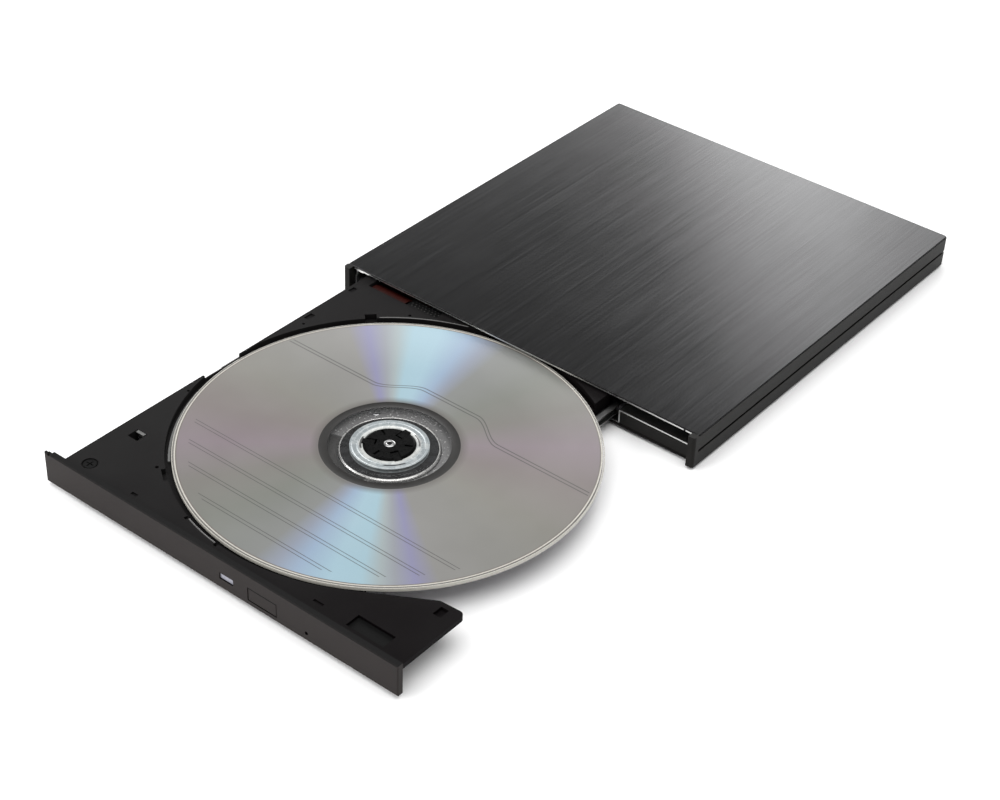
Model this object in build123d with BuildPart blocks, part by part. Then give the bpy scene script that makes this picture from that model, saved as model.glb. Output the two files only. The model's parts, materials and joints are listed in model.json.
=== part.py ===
from build123d import *
import os

os.makedirs("parts", exist_ok=True)

# ---------------------------------------------------------------- driving dimensions (mm)
# X runs to the right when facing the bezel, Y to the back, Z up from the table.
# The tray is modelled open, with a disc on the hub.

FOOT_H = 0.8              # the case stands this far off the table
FRONT = -8.62             # Y of the top plate's front edge

CASE_HALF_W = 66.6        # half the width over the side walls
CASE_D = 142.7            # depth behind the top plate's front edge
WALL_T = 2.4              # side and back wall thickness
POST_LEN = 2.2            # side walls stand this far in front of the top plate
CORNER_R = 0.9            # upright corners of the walls
WALL_H = 10.18            # height of the walls under the top plate
POST_H = 10.5             # height of the wall ends beside the bezel
GROOVE_LOW = 4.6          # bottom of the groove round the walls
GROOVE_HIGH = 5.45        # top of the groove
GROOVE_DEEP = 0.7
PLATE_LOW = 10.2          # underside of the top plate
PLATE_T = 0.4
PLATE_INSET = 0.1         # top plate edge behind the wall's outer face
FLOOR_T = 0.65            # bottom plate

DRIVE_HALF_W = 64.0       # slim drives are 128 mm wide
DRIVE_FRONT = 0.5         # front edge of the chassis, behind the top plate's edge
COVER_FRONT = 0.0         # front edge of the steel cover
DRIVE_L = 126.0
SHEET = 0.45              # chassis sheet thickness
COVER_LOW = 9.7           # underside of the drive's top cover
COVER_HIGH = 10.15
CORNER_LOW = 9.2          # lower end of the cover's turned-down corner
THICK_LOW = 0.7           # underside of the thick part of the chassis
THIN_LOW = 5.0            # underside of the thin part, right of the riser
RISER_X = 38.95           # outer face of the riser between them
JOG_X = 0.5               # the left wall steps in by this much for the cover's flange

TRAY_LEFT = -58.9         # outer faces of the thick part of the tray
TRAY_RIGHT = 34.3
TRAY_FRONT = -123.5       # tray moulding, from the front edge of the top plate
TRAY_REAR = 1.5
TRAY_LOW = 3.0
DECK_HIGH = 9.0           # top of the tray
DECK_T = 1.6
WING_RIGHT = 63.2
WING_REAR = -98.6
POCKET_FLOOR = 6.9
POCKET_R = 61.8
CAVITY_HIGH = 5.6         # underside of the pocket floor
SKIRT_T = 1.6
SIDE_GAP_FRONT = -70.4    # finger gap where the pocket runs out at the tray's left side
SIDE_GAP_REAR = -55.9
SIDE_GAP_LOW = 7.7

BEZEL_T = 1.9
BEZEL_HALF_W = 64.0
BEZEL_LOW = 0.5
BEZEL_HIGH = 10.5
BEZEL_REAR = -123.55      # back face, from the front edge of the top plate
WINDOW_X = 5.3
WINDOW_Z = 4.65
WINDOW_W = 5.0
WINDOW_H = 2.0
BUTTON_X = 18.1
BUTTON_Z = 4.25
BUTTON_W = 10.0
BUTTON_H = 4.1
BUTTON_GAP = 0.2
PINHOLE_X = 33.5
PINHOLE_Z = 3.05

SPIN_X = 2.5              # spindle axis
SPIN_Y = -58.8            # from the front edge of the top plate
DISC_R = 60.0
DISC_HOLE_R = 7.5
DISC_T = 1.2
DISC_LOW = 7.4
SHAFT_R = 1.25
SHAFT_CLEAR = 0.05
ROTOR_R = 12.6
HUB_R = 7.3
CLAW_W = 2.2
CLAW_COUNT = 3

RAIL_LOW = 2.6
RAIL_HIGH = 5.6
RAIL_SHEET = 0.5
RAIL_FRONT = -61.0
RAIL_REAR = 61.5

LENS_REST = 24.0          # radius of the lens with the sled at its inner end
ROD_SIDE = 16.5           # guide rods, either side of the sled's line
ROD_R = 0.9
ROD_CLEAR = 0.03
ROD_Z = 4.6
SCREW_SIDE = 21.0
SCREW_R = 0.85
SCREW_Z = 4.7


def fy(d):
    """Y of a station d behind the front edge of the top plate."""
    return FRONT + d


def cz(h):
    """Z of a height h above the underside of the case."""
    return FOOT_H + h


def block(x0, x1, y0, y1, z0, z1, mode=Mode.ADD):
    """A box between stations: X, Y behind the top plate's edge, Z above the case's underside."""
    with Locations(((x0 + x1) / 2, fy((y0 + y1) / 2), cz((z0 + z1) / 2))):
        Box(x1 - x0, y1 - y0, z1 - z0, mode=mode)


def post(x, y, z0, z1, r, mode=Mode.ADD):
    """An upright cylinder between two heights."""
    with Locations((x, fy(y), cz((z0 + z1) / 2))):
        Cylinder(r, z1 - z0, mode=mode)


def save(piece, name):
    """Labels a finished piece and writes its STEP file."""
    piece.part.label = name
    export_step(piece.part, "parts/" + name + ".step")


# The pickup runs along a line from the spindle towards the front-left corner of the tray.
# In this plane X is the distance from the spindle along that line and Y the side of it.
pickup_line = Plane(origin=(SPIN_X, fy(SPIN_Y), 0), x_dir=(-1, -1, 0), z_dir=(0, 0, 1))


def line_block(r0, r1, s0, s1, z0, z1, mode=Mode.ADD):
    """A box along the pickup's line: distance, side, height above the case's underside."""
    with Locations(pickup_line.location * Location(((r0 + r1) / 2, (s0 + s1) / 2, cz((z0 + z1) / 2)))):
        Box(r1 - r0, s1 - s0, z1 - z0, mode=mode)


def line_rod(r0, r1, side, z, radius, mode=Mode.ADD):
    """A round bar along the pickup's line."""
    with Locations(pickup_line.location * Location(((r0 + r1) / 2, side, cz(z)), (0, 90, 0))):
        Cylinder(radius, r1 - r0, mode=mode)


def ring(r0, r1, z0, z1):
    """A ring round the spindle axis."""
    post(SPIN_X, SPIN_Y, z0, z1, r1)
    post(SPIN_X, SPIN_Y, z0 - 0.1, z1 + 0.1, r0, mode=Mode.SUBTRACT)


# ---------------------------------------------------------------- enclosure

BOSS_X = 58.0
BOSS_Y = 133.5
BOSS_R = 2.6
SCREW_HOLE_R = 0.8
PORT_X = -38.0
PORT_Z = 3.9
PORT_W = 9.4
PORT_H = 3.6

with BuildPart() as side_frame:
    wall_len = CASE_D + POST_LEN
    wall_mid = (CASE_D - POST_LEN) / 2
    with BuildSketch(Plane.XY.offset(cz(0))) as wall_plan:
        with Locations((0, fy(wall_mid))):
            Rectangle(2 * CASE_HALF_W, wall_len)
        fillet(wall_plan.vertices(), radius=CORNER_R)
        with Locations((0, fy(wall_mid - WALL_T))):
            Rectangle(2 * (CASE_HALF_W - WALL_T), wall_len + 0.01, mode=Mode.SUBTRACT)
    extrude(amount=POST_H)
    # the walls drop behind the front ends to carry the top plate
    block(-70, 70, -0.06, CASE_D + 1, WALL_H, POST_H + 1, mode=Mode.SUBTRACT)
    # groove along both sides and across the back
    groove_x = CASE_HALF_W - GROOVE_DEEP
    block(groove_x, 70, 0.2, CASE_D + 1, GROOVE_LOW, GROOVE_HIGH, mode=Mode.SUBTRACT)
    block(-70, -groove_x, 0.2, CASE_D + 1, GROOVE_LOW, GROOVE_HIGH, mode=Mode.SUBTRACT)
    groove_y = CASE_D - GROOVE_DEEP
    block(-70, 70, groove_y, CASE_D + 1, GROOVE_LOW, GROOVE_HIGH, mode=Mode.SUBTRACT)
    # opening for the USB plug
    port_plane = Plane.XZ.offset(-fy(CASE_D - WALL_T - 0.5))
    with BuildSketch(port_plane):
        with Locations((PORT_X, cz(PORT_Z))):
            RectangleRounded(PORT_W, PORT_H, PORT_H / 2 - 0.05)
    extrude(amount=-(WALL_T + 1), mode=Mode.SUBTRACT)
    # corner bosses for the case screws, webbed to the back wall
    for sx in (-1, 1):
        post(sx * BOSS_X, BOSS_Y, FLOOR_T + 0.05, WALL_H - 0.3, BOSS_R)
        block(sx * BOSS_X - 0.6, sx * BOSS_X + 0.6, BOSS_Y, CASE_D - WALL_T + 0.1, 1.5, 8.5)
        post(sx * BOSS_X, BOSS_Y, 0, WALL_H, SCREW_HOLE_R, mode=Mode.SUBTRACT)
save(side_frame, "side_frame")

with BuildPart() as top_plate:
    with BuildSketch(Plane.XY.offset(cz(PLATE_LOW))) as plate_plan:
        with Locations((0, fy((CASE_D - PLATE_INSET) / 2))):
            Rectangle(2 * (CASE_HALF_W - PLATE_INSET), CASE_D - PLATE_INSET)
        fillet(plate_plan.vertices(), radius=CORNER_R)
    extrude(amount=PLATE_T)
    chamfer(top_plate.faces().sort_by(Axis.Z)[-1].edges(), length=0.2)
save(top_plate, "top_plate")

STEP_FRONT = 0.35         # front face of the raised support
STEP_HIGH = 4.95
RIB_T = 1.2
INNER_HALF_W = CASE_HALF_W - WALL_T - 0.05
FLOOR_L = CASE_D - WALL_T - 0.05

with BuildPart() as bottom_plate:
    block(-INNER_HALF_W, INNER_HALF_W, 0, FLOOR_L, 0, FLOOR_T)
    # raised support under the thin part of the drive
    step_x = RISER_X + 0.15
    block(step_x, INNER_HALF_W, STEP_FRONT, STEP_FRONT + RIB_T, FLOOR_T, STEP_HIGH)
    for rib_x in (step_x, 47.0, 55.0, INNER_HALF_W - RIB_T):
        block(rib_x, rib_x + RIB_T, STEP_FRONT + RIB_T, 118, FLOOR_T, STEP_HIGH)
    # countersunk holes for the two case screws
    for sx in (-1, 1):
        post(sx * BOSS_X, BOSS_Y, -0.1, FLOOR_T + 0.1, 1.1, mode=Mode.SUBTRACT)
        post(sx * BOSS_X, BOSS_Y, -0.1, 0.4, 2.0, mode=Mode.SUBTRACT)
    front_low = bottom_plate.edges().filter_by(Axis.X).sort_by(Axis.Y)[:2].sort_by(Axis.Z)[0]
    chamfer(front_low, length=0.3)
save(bottom_plate, "bottom_plate")

FOOT_X = 50.0
FOOT_FRONT = 12.0
FOOT_REAR = 131.0
FOOT_LEN = 18.0
FOOT_W = 6.0

with BuildPart() as rubber_feet:
    with BuildSketch(Plane.XY):
        for foot_y in (FOOT_FRONT, FOOT_REAR):
            for foot_x in (-FOOT_X + 6, FOOT_X - 6):
                with Locations((foot_x, fy(foot_y))):
                    SlotOverall(FOOT_LEN, FOOT_W)
    extrude(amount=FOOT_H)
    chamfer(rubber_feet.faces().group_by(Axis.Z)[0].edges(), length=0.15)
save(rubber_feet, "rubber_feet")

with BuildPart() as case_screws:
    for sx in (-1, 1):
        post(sx * BOSS_X, BOSS_Y, 0.42, 5.0, SCREW_HOLE_R)
        post(sx * BOSS_X, BOSS_Y, 0.02, 0.38, 1.85)
        post(sx * BOSS_X, BOSS_Y, 0.3, 0.6, SCREW_HOLE_R)
        block(sx * BOSS_X - 1.1, sx * BOSS_X + 1.1, BOSS_Y - 0.2, BOSS_Y + 0.2, 0, 0.2, mode=Mode.SUBTRACT)
        block(sx * BOSS_X - 0.2, sx * BOSS_X + 0.2, BOSS_Y - 1.1, BOSS_Y + 1.1, 0, 0.2, mode=Mode.SUBTRACT)
save(case_screws, "case_screws")

# ---------------------------------------------------------------- rear bay electronics

BOARD_FRONT = 129.0
BOARD_REAR = 139.9
BOARD_LOW = 1.6
BOARD_T = 0.8

with BuildPart() as bridge_board:
    block(-48, 46, BOARD_FRONT, BOARD_REAR, BOARD_LOW, BOARD_LOW + BOARD_T)
    # stand-offs moulded on as solder pads below the board
    for pad_x in (-44.0, 0.0, 42.0):
        post(pad_x, 134.5, FLOOR_T, BOARD_LOW, 1.5)
save(bridge_board, "bridge_board")

with BuildPart() as bridge_chips:
    chip_low = BOARD_LOW + BOARD_T
    block(-20, -13, 131, 138, chip_low, chip_low + 0.9)
    block(-6, -1, 132, 136, chip_low, chip_low + 0.7)
    for cap_x in (-28.0, -25.0, -9.5, 1.0, 4.0):
        block(cap_x, cap_x + 1.6, 136.5, 137.3, chip_low, chip_low + 0.8)
    post(10, 134.5, chip_low, chip_low + 1.6, 2.4)
save(bridge_chips, "bridge_chips")

with BuildPart() as usb_port:
    shell_plane = Plane.XZ.offset(-fy(BOARD_REAR - 6.2))
    with BuildSketch(shell_plane):
        with Locations((PORT_X, cz(PORT_Z))):
            RectangleRounded(8.94, 2.96, 1.45)
            RectangleRounded(8.34, 2.36, 1.15, mode=Mode.SUBTRACT)
    extrude(amount=-8.4)
    block(PORT_X - 4.2, PORT_X + 4.2, BOARD_REAR - 6.2, BOARD_REAR - 5.4, PORT_Z - 1.25, PORT_Z + 1.25)
    block(PORT_X - 3.3, PORT_X + 3.3, BOARD_REAR - 5.5, BOARD_REAR + 0.6, PORT_Z - 0.33, PORT_Z + 0.33)
save(usb_port, "usb_port")

with BuildPart() as drive_plug:
    block(14, 44, 127.4, 133, chip_low, 6.4)
    block(16, 42, 132.2, 133.1, 3.4, 5.4, mode=Mode.SUBTRACT)
save(drive_plug, "drive_plug")

with BuildPart() as rear_bracket:
    block(-46, -22, DRIVE_FRONT + DRIVE_L, DRIVE_FRONT + DRIVE_L + 0.8, 1.5, 8.8)
    block(-46, -22, DRIVE_FRONT + DRIVE_L, 128.8, FLOOR_T, 1.5)
    for hole_x in (-42.0, -26.0):
        with Locations(Location((hole_x, fy(DRIVE_FRONT + DRIVE_L), cz(6)), (90, 0, 0))):
            Cylinder(1.0, 4, mode=Mode.SUBTRACT)
save(rear_bracket, "rear_bracket")

with BuildPart() as bracket_screws:
    for hole_x in (-42.0, -26.0):
        with Locations(Location((hole_x, fy(127.8), cz(6)), (90, 0, 0))):
            Cylinder(1.7, 0.9)
        with Locations(Location((hole_x, fy(126.6), cz(6)), (90, 0, 0))):
            Cylinder(0.9, 1.6)
save(bracket_screws, "bracket_screws")

# ---------------------------------------------------------------- drive shell

sheet_plane = Plane.XZ.offset(-fy(DRIVE_FRONT))

with BuildPart() as drive_cover:
    cover_rear = DRIVE_FRONT + DRIVE_L
    block(-DRIVE_HALF_W, DRIVE_HALF_W, COVER_FRONT, cover_rear, COVER_LOW, COVER_HIGH)
    # flange down the left side, outside the chassis wall
    block(-DRIVE_HALF_W, -DRIVE_HALF_W + SHEET, DRIVE_FRONT + 1.2, cover_rear, 8.1, COVER_LOW)
    # stiffening tab at the left of the mouth, slit and turned-down corner at the right
    block(-62.9, -60.3, COVER_FRONT, COVER_FRONT + 0.6, COVER_LOW - 0.3, COVER_LOW)
    slit_rear = COVER_FRONT + 1.2
    block(61.1, 61.8, COVER_FRONT - 0.1, slit_rear, COVER_LOW - 0.1, COVER_HIGH + 0.1, mode=Mode.SUBTRACT)
    block(DRIVE_HALF_W - SHEET, DRIVE_HALF_W, COVER_FRONT, COVER_FRONT + 2.6, CORNER_LOW, COVER_LOW)
save(drive_cover, "drive_cover")

with BuildPart() as drive_chassis:
    left_up = -DRIVE_HALF_W + JOG_X
    wall_top = COVER_LOW - 0.02
    with BuildSketch(sheet_plane):
        with BuildLine():
            Polyline(
                (left_up, cz(wall_top)),
                (left_up, cz(7.9)),
                (-DRIVE_HALF_W, cz(6.8)),
                (-DRIVE_HALF_W, cz(THICK_LOW)),
                (RISER_X, cz(THICK_LOW)),
                (RISER_X, cz(THIN_LOW)),
                (DRIVE_HALF_W, cz(THIN_LOW)),
                (DRIVE_HALF_W, cz(wall_top)),
                (DRIVE_HALF_W - SHEET, cz(wall_top)),
                (DRIVE_HALF_W - SHEET, cz(THIN_LOW + SHEET)),
                (RISER_X - SHEET, cz(THIN_LOW + SHEET)),
                (RISER_X - SHEET, cz(THICK_LOW + SHEET)),
                (-DRIVE_HALF_W + SHEET, cz(THICK_LOW + SHEET)),
                (-DRIVE_HALF_W + SHEET, cz(6.9)),
                (left_up + SHEET, cz(8.0)),
                (left_up + SHEET, cz(wall_top)),
                close=True,
            )
        make_face()
    extrude(amount=-DRIVE_L)
    # back wall, low at the plug
    back_y = DRIVE_FRONT + DRIVE_L - SHEET
    block(left_up, RISER_X, back_y, back_y + SHEET, THICK_LOW, wall_top)
    block(RISER_X - 0.1, DRIVE_HALF_W, back_y, back_y + SHEET, THIN_LOW, wall_top)
    block(16, RISER_X - 2, back_y - 1, back_y + 1, 2.6, 6.2, mode=Mode.SUBTRACT)
    # the cover's turned-down corner sits in this notch
    block(63.0, 64.5, 0, COVER_FRONT + 2.8, CORNER_LOW - 0.1, COVER_LOW + 0.1, mode=Mode.SUBTRACT)
    for hole_x in (-42.0, -26.0):
        with Locations(Location((hole_x, fy(back_y), cz(6)), (90, 0, 0))):
            Cylinder(0.92, 4, mode=Mode.SUBTRACT)
save(drive_chassis, "drive_chassis")

GUIDE_REAR = 124.0
GUIDE_FRONT = 2.0
TONGUE_LOW = 3.3
TONGUE_HIGH = 4.9
guide_low = THICK_LOW + SHEET

with BuildPart() as rail_guide_left:
    block(-63.5, -61.5, GUIDE_FRONT, GUIDE_REAR, guide_low, 5.5)
    block(-61.6, -60.75, GUIDE_FRONT, GUIDE_REAR, TONGUE_LOW, TONGUE_HIGH)
save(rail_guide_left, "rail_guide_left")

with BuildPart() as rail_guide_right:
    block(37.35, 38.45, GUIDE_FRONT, GUIDE_REAR, guide_low, 5.6)
    block(36.25, 37.45, GUIDE_FRONT, GUIDE_REAR, TONGUE_LOW, TONGUE_HIGH)
save(rail_guide_right, "rail_guide_right")

with BuildPart() as drive_board:
    block(-48, 24, 72, 123, 1.25, 1.75)
    block(-48, -30, 72, 84, 1.2, 1.8, mode=Mode.SUBTRACT)
save(drive_board, "drive_board")

with BuildPart() as drive_chips:
    block(-22, -10, 96, 108, 1.75, 2.1)
    block(0, 8, 92, 100, 1.75, 2.1)
    block(-44, -36, 108, 113, 1.75, 2.1)
    for cap_x in range(-6, 18, 4):
        block(cap_x, cap_x + 1.8, 112, 113, 1.75, 2.1)
    for cap_y in range(88, 106, 4):
        block(-28, -27, cap_y, cap_y + 1.8, 1.75, 2.1)
save(drive_chips, "drive_chips")

with BuildPart() as floor_flex:
    block(-53, -40, 4, 86, 1.17, 1.23)
    block(-53, -48.2, 86, 100, 1.17, 1.23)
save(floor_flex, "floor_flex")

LATCH_X = 50.0
LATCH_PIN_Y = 12.0

with BuildPart() as latch_pin:
    post(LATCH_X, LATCH_PIN_Y, THIN_LOW + SHEET, 6.7, 0.9)
    post(LATCH_X, LATCH_PIN_Y, THIN_LOW + SHEET, 5.8, 1.8)
save(latch_pin, "latch_pin")

with BuildPart() as eject_pusher:
    block(-56.8, -50, 125.0, 126.04, 3.2, 7.6)
    block(-55.6, -51.2, 124.85, 125.0, 4.2, 6.4)
save(eject_pusher, "eject_pusher")

# ---------------------------------------------------------------- telescopic rails

with BuildPart() as rail_left:
    block(-60.6, -60.1, RAIL_FRONT, RAIL_REAR, RAIL_LOW, RAIL_HIGH)
    block(-61.35, -60.5, RAIL_FRONT, RAIL_REAR, RAIL_LOW, RAIL_LOW + RAIL_SHEET)
    block(-61.35, -60.5, RAIL_FRONT, RAIL_REAR, RAIL_HIGH - RAIL_SHEET, RAIL_HIGH)
    block(-60.2, -58.2, RAIL_FRONT, RAIL_REAR, 3.85, 4.35)
save(rail_left, "rail_left")

with BuildPart() as rail_right:
    block(35.6, 36.1, RAIL_FRONT, RAIL_REAR, RAIL_LOW, RAIL_HIGH)
    block(36.0, 37.2, RAIL_FRONT, RAIL_REAR, RAIL_LOW, RAIL_LOW + RAIL_SHEET)
    block(36.0, 37.2, RAIL_FRONT, RAIL_REAR, RAIL_HIGH - RAIL_SHEET, RAIL_HIGH)
    block(33.6, 35.7, RAIL_FRONT, RAIL_REAR, 3.85, 4.35)
save(rail_right, "rail_right")

# ---------------------------------------------------------------- tray

SWITCH_BAY_LEFT = -1.0
SWITCH_BAY_RIGHT = 27.0
DECK_HOLE_X = -52.1
DECK_HOLE_Y = -102.3
TRAY_SCREW_X = -52.4
TRAY_SCREW_Y = -119.4
GROOVE_LOW_Z = 3.7
GROOVE_HIGH_Z = 4.5
REAR_CUT_Y = -3.5
CUT_FLOOR = 6.2
FLEX_LEFT = -54.4
FLEX_RIGHT = -40.9
BOARD_LEFT = -40.4
BOARD_RIGHT = -28.3


def deck_window(x0, x1, y0, y1, depth):
    """A rectangular sinking or opening in the top of the tray."""
    block(x0, x1, y0, y1, DECK_HIGH - depth, DECK_HIGH + 0.1, mode=Mode.SUBTRACT)


def rim_notch(angle, half_len, reach, depth):
    """A rectangular cut-out in the edge of the disc pocket, angle from +X."""
    turn = Location((SPIN_X, fy(SPIN_Y), 0), (0, 0, angle))
    at = Location((POCKET_R + reach / 2 - 0.2, 0, cz(DECK_HIGH - depth / 2)))
    with Locations(turn * at):
        Box(reach + 0.4, 2 * half_len, depth, mode=Mode.SUBTRACT)


with BuildPart() as tray:
    block(TRAY_LEFT, TRAY_RIGHT, TRAY_FRONT, TRAY_REAR, TRAY_LOW, DECK_HIGH)
    # wing at the front right
    with BuildSketch(Plane.XY.offset(cz(DECK_HIGH - DECK_T))):
        with BuildLine():
            Polyline(
                (30, fy(TRAY_FRONT)),
                (WING_RIGHT, fy(TRAY_FRONT)),
                (WING_RIGHT, fy(WING_REAR)),
                (55.2, fy(WING_REAR - 0.5)),
                (36, fy(-110.8)),
                (30, fy(-113.4)),
                close=True,
            )
        wing = make_face()
        fillet(wing.vertices().group_by(Axis.X)[-1].sort_by(Axis.Y)[-1], radius=1.7)
    extrude(amount=DECK_T)
    # front rib under the wing, clear of the latch pin's path
    block(34, WING_RIGHT - 1.5, TRAY_FRONT, TRAY_FRONT + 1.4, 5.9, DECK_HIGH - DECK_T)
    block(34, 35.6, TRAY_FRONT, -113.4, 6.0, DECK_HIGH - DECK_T)
    # disc pocket
    with BuildSketch(Plane.XY.offset(cz(POCKET_FLOOR))):
        with Locations((SPIN_X, fy(SPIN_Y))):
            Circle(POCKET_R)
    extrude(amount=3, mode=Mode.SUBTRACT)
    # a thin wall closes the pocket at the tray's side, lower along the finger gap
    block(TRAY_LEFT, TRAY_LEFT + 0.5, -74.0, -48.0, POCKET_FLOOR - 0.2, DECK_HIGH)
    gap_in, gap_top = TRAY_LEFT + 1.2, DECK_HIGH + 0.1
    block(TRAY_LEFT - 0.1, gap_in, SIDE_GAP_FRONT, SIDE_GAP_REAR, SIDE_GAP_LOW, gap_top, mode=Mode.SUBTRACT)
    # hollow underside
    cavity_left = TRAY_LEFT + SKIRT_T + 0.1
    cavity_right = TRAY_RIGHT - SKIRT_T - 0.1
    block(cavity_left, cavity_right, TRAY_FRONT + SKIRT_T, 0, TRAY_LOW - 1, CAVITY_HIGH, mode=Mode.SUBTRACT)
    # slot for the pickup and round opening for the turntable
    post(SPIN_X, SPIN_Y, CAVITY_HIGH - 0.1, POCKET_FLOOR + 0.1, 20.0, mode=Mode.SUBTRACT)
    line_block(10, 59, -11, 11, CAVITY_HIGH - 0.1, POCKET_FLOOR + 0.1, mode=Mode.SUBTRACT)
    line_block(50, 64.5, -11, 11, CAVITY_HIGH - 0.1, 6.5, mode=Mode.SUBTRACT)
    line_block(4, 18, SCREW_SIDE - 2, SCREW_SIDE + 2, CAVITY_HIGH - 0.1, 6.5, mode=Mode.SUBTRACT)
    # bay for the indicator and the eject switch behind the bezel
    bay_front, bay_rear, bay_low = TRAY_FRONT - 0.1, TRAY_FRONT + SKIRT_T + 0.1, TRAY_LOW - 0.1
    block(SWITCH_BAY_LEFT, SWITCH_BAY_RIGHT, bay_front, bay_rear, bay_low, 6.9, mode=Mode.SUBTRACT)
    block(PINHOLE_X - 1.2, TRAY_RIGHT + 0.1, bay_front, bay_rear, bay_low, 4.2, mode=Mode.SUBTRACT)
    # grooves for the rail fins
    block(TRAY_LEFT - 0.1, TRAY_LEFT + 1.0, -122.9, 2, GROOVE_LOW_Z, GROOVE_HIGH_Z, mode=Mode.SUBTRACT)
    block(TRAY_RIGHT - 1.0, TRAY_RIGHT + 0.1, -122.9, 2, GROOVE_LOW_Z, GROOVE_HIGH_Z, mode=Mode.SUBTRACT)
    # square clip hole, screw seat, locating holes and marks on the deck
    deck_window(DECK_HOLE_X - 1.9, DECK_HOLE_X + 1.9, DECK_HOLE_Y - 1.9, DECK_HOLE_Y + 1.9, 4.0)
    post(TRAY_SCREW_X, TRAY_SCREW_Y, DECK_HIGH - 0.7, DECK_HIGH + 0.1, 2.3, mode=Mode.SUBTRACT)
    post(TRAY_SCREW_X, TRAY_SCREW_Y, CAVITY_HIGH - 0.1, DECK_HIGH, 0.9, mode=Mode.SUBTRACT)
    post(-37.7, -108.6, DECK_HIGH - 1.2, DECK_HIGH + 0.1, 0.55, mode=Mode.SUBTRACT)
    post(-56.6, -78.5, DECK_HIGH - 1.2, DECK_HIGH + 0.1, 0.45, mode=Mode.SUBTRACT)
    deck_window(-34.7, -32.6, -121.1, -120.1, 0.5)
    deck_window(30.9, 34.2, -120.2, -119.4, 0.4)
    deck_window(-57.7, -55.9, -29.6, -26.4, 0.5)
    deck_window(-57.8, -56.2, -9.8, -7.2, 0.5)
    post(-55.5, -32.0, DECK_HIGH - 1.0, DECK_HIGH + 0.1, 0.45, mode=Mode.SUBTRACT)
    # sinkings on the wing
    deck_window(43.2, 55.6, -121.3, -116.5, 1.0)
    deck_window(56.8, 59.3, -104.0, -100.6, 1.0)
    # cut-outs in the pocket edge
    rim_notch(234.5, 2.6, 1.2, 1.9)
    rim_notch(136.6, 1.8, 2.2, 1.9)
    rim_notch(252.5, 0.5, 1.2, 1.2)
    rim_notch(265.2, 0.5, 1.2, 1.2)
    # back edge: open for the flex cable and for the board beside it
    cut_left, cut_right = FLEX_LEFT - 0.5, BOARD_RIGHT + 0.3
    block(cut_left, cut_right, REAR_CUT_Y, TRAY_REAR + 1, CUT_FLOOR, DECK_HIGH + 0.1, mode=Mode.SUBTRACT)
    post(-34.7, -7.4, DECK_HIGH - 0.8, DECK_HIGH + 0.1, 0.5, mode=Mode.SUBTRACT)
save(tray, "tray")

with BuildPart() as bezel:
    bezel_front = BEZEL_REAR - BEZEL_T
    block(-BEZEL_HALF_W, BEZEL_HALF_W, bezel_front, BEZEL_REAR, BEZEL_LOW, BEZEL_HIGH)
    chamfer(bezel.faces().sort_by(Axis.Y)[0].edges(), length=0.3)
    bezel_plane = Plane.XZ.offset(-fy(BEZEL_REAR + 0.1))
    with BuildSketch(bezel_plane):
        with Locations((WINDOW_X, cz(WINDOW_Z))):
            Rectangle(WINDOW_W, WINDOW_H)
        with Locations((BUTTON_X, cz(BUTTON_Z))):
            RectangleRounded(BUTTON_W + 2 * BUTTON_GAP, BUTTON_H + 2 * BUTTON_GAP, 0.4)
        with Locations((PINHOLE_X, cz(PINHOLE_Z))):
            Circle(0.55)
    extrude(amount=BEZEL_T + 0.3, mode=Mode.SUBTRACT)
    # notch beside the upright tab at the left end, and snap hooks into the tray
    cut_rear, cut_high = BEZEL_REAR + 0.1, BEZEL_HIGH + 0.1
    block(-62.6, -61.8, bezel_front - 0.1, cut_rear, BEZEL_HIGH - 0.5, cut_high, mode=Mode.SUBTRACT)
    block(-BEZEL_HALF_W - 0.1, -62.0, bezel_front + 0.9, cut_rear, 9.6, cut_high, mode=Mode.SUBTRACT)
save(bezel, "bezel")

with BuildPart() as led_window:
    window_gap = 0.02
    block(
        WINDOW_X - WINDOW_W / 2 + window_gap,
        WINDOW_X + WINDOW_W / 2 - window_gap,
        bezel_front + 0.45,
        BEZEL_REAR,
        WINDOW_Z - WINDOW_H / 2 + window_gap,
        WINDOW_Z + WINDOW_H / 2 - window_gap,
    )
    block(WINDOW_X - 3.2, WINDOW_X + 3.2, BEZEL_REAR, -122.9, WINDOW_Z - 1.4, WINDOW_Z + 1.4)
    block(WINDOW_X - 1.2, WINDOW_X + 1.2, -122.9, -120.6, WINDOW_Z - 0.9, WINDOW_Z + 0.4)
save(led_window, "led_window")

BUTTON_TRAVEL = 0.6
SWITCH_FACE = -120.0

with BuildPart() as eject_button:
    block(
        BUTTON_X - BUTTON_W / 2,
        BUTTON_X + BUTTON_W / 2,
        bezel_front,
        BEZEL_REAR + 0.3,
        BUTTON_Z - BUTTON_H / 2,
        BUTTON_Z + BUTTON_H / 2,
    )
    chamfer(eject_button.faces().sort_by(Axis.Y)[0].edges(), length=0.2)
    block(BUTTON_X - 5.7, BUTTON_X + 5.7, BEZEL_REAR + 0.02, -122.9, 3.1, 6.6)
    block(BUTTON_X - 1.5, BUTTON_X + 1.5, -122.9, SWITCH_FACE - 0.7, 3.9, 5.4)
save(eject_button, "eject_button")

with BuildPart() as button_board:
    block(0, 26, -120.6, -114, 3.1, 3.6)
save(button_board, "button_board")

with BuildPart() as tact_switch:
    block(BUTTON_X - 3, BUTTON_X + 3, SWITCH_FACE + 0.3, SWITCH_FACE + 3.4, 3.6, 5.5)
    block(BUTTON_X - 1.2, BUTTON_X + 1.2, SWITCH_FACE, SWITCH_FACE + 0.4, 4.0, 5.2)
save(tact_switch, "tact_switch")

with BuildPart() as status_lamp:
    block(WINDOW_X - 0.8, WINDOW_X + 0.8, -120.5, -119.5, 3.6, 4.5)
save(status_lamp, "status_lamp")

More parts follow.
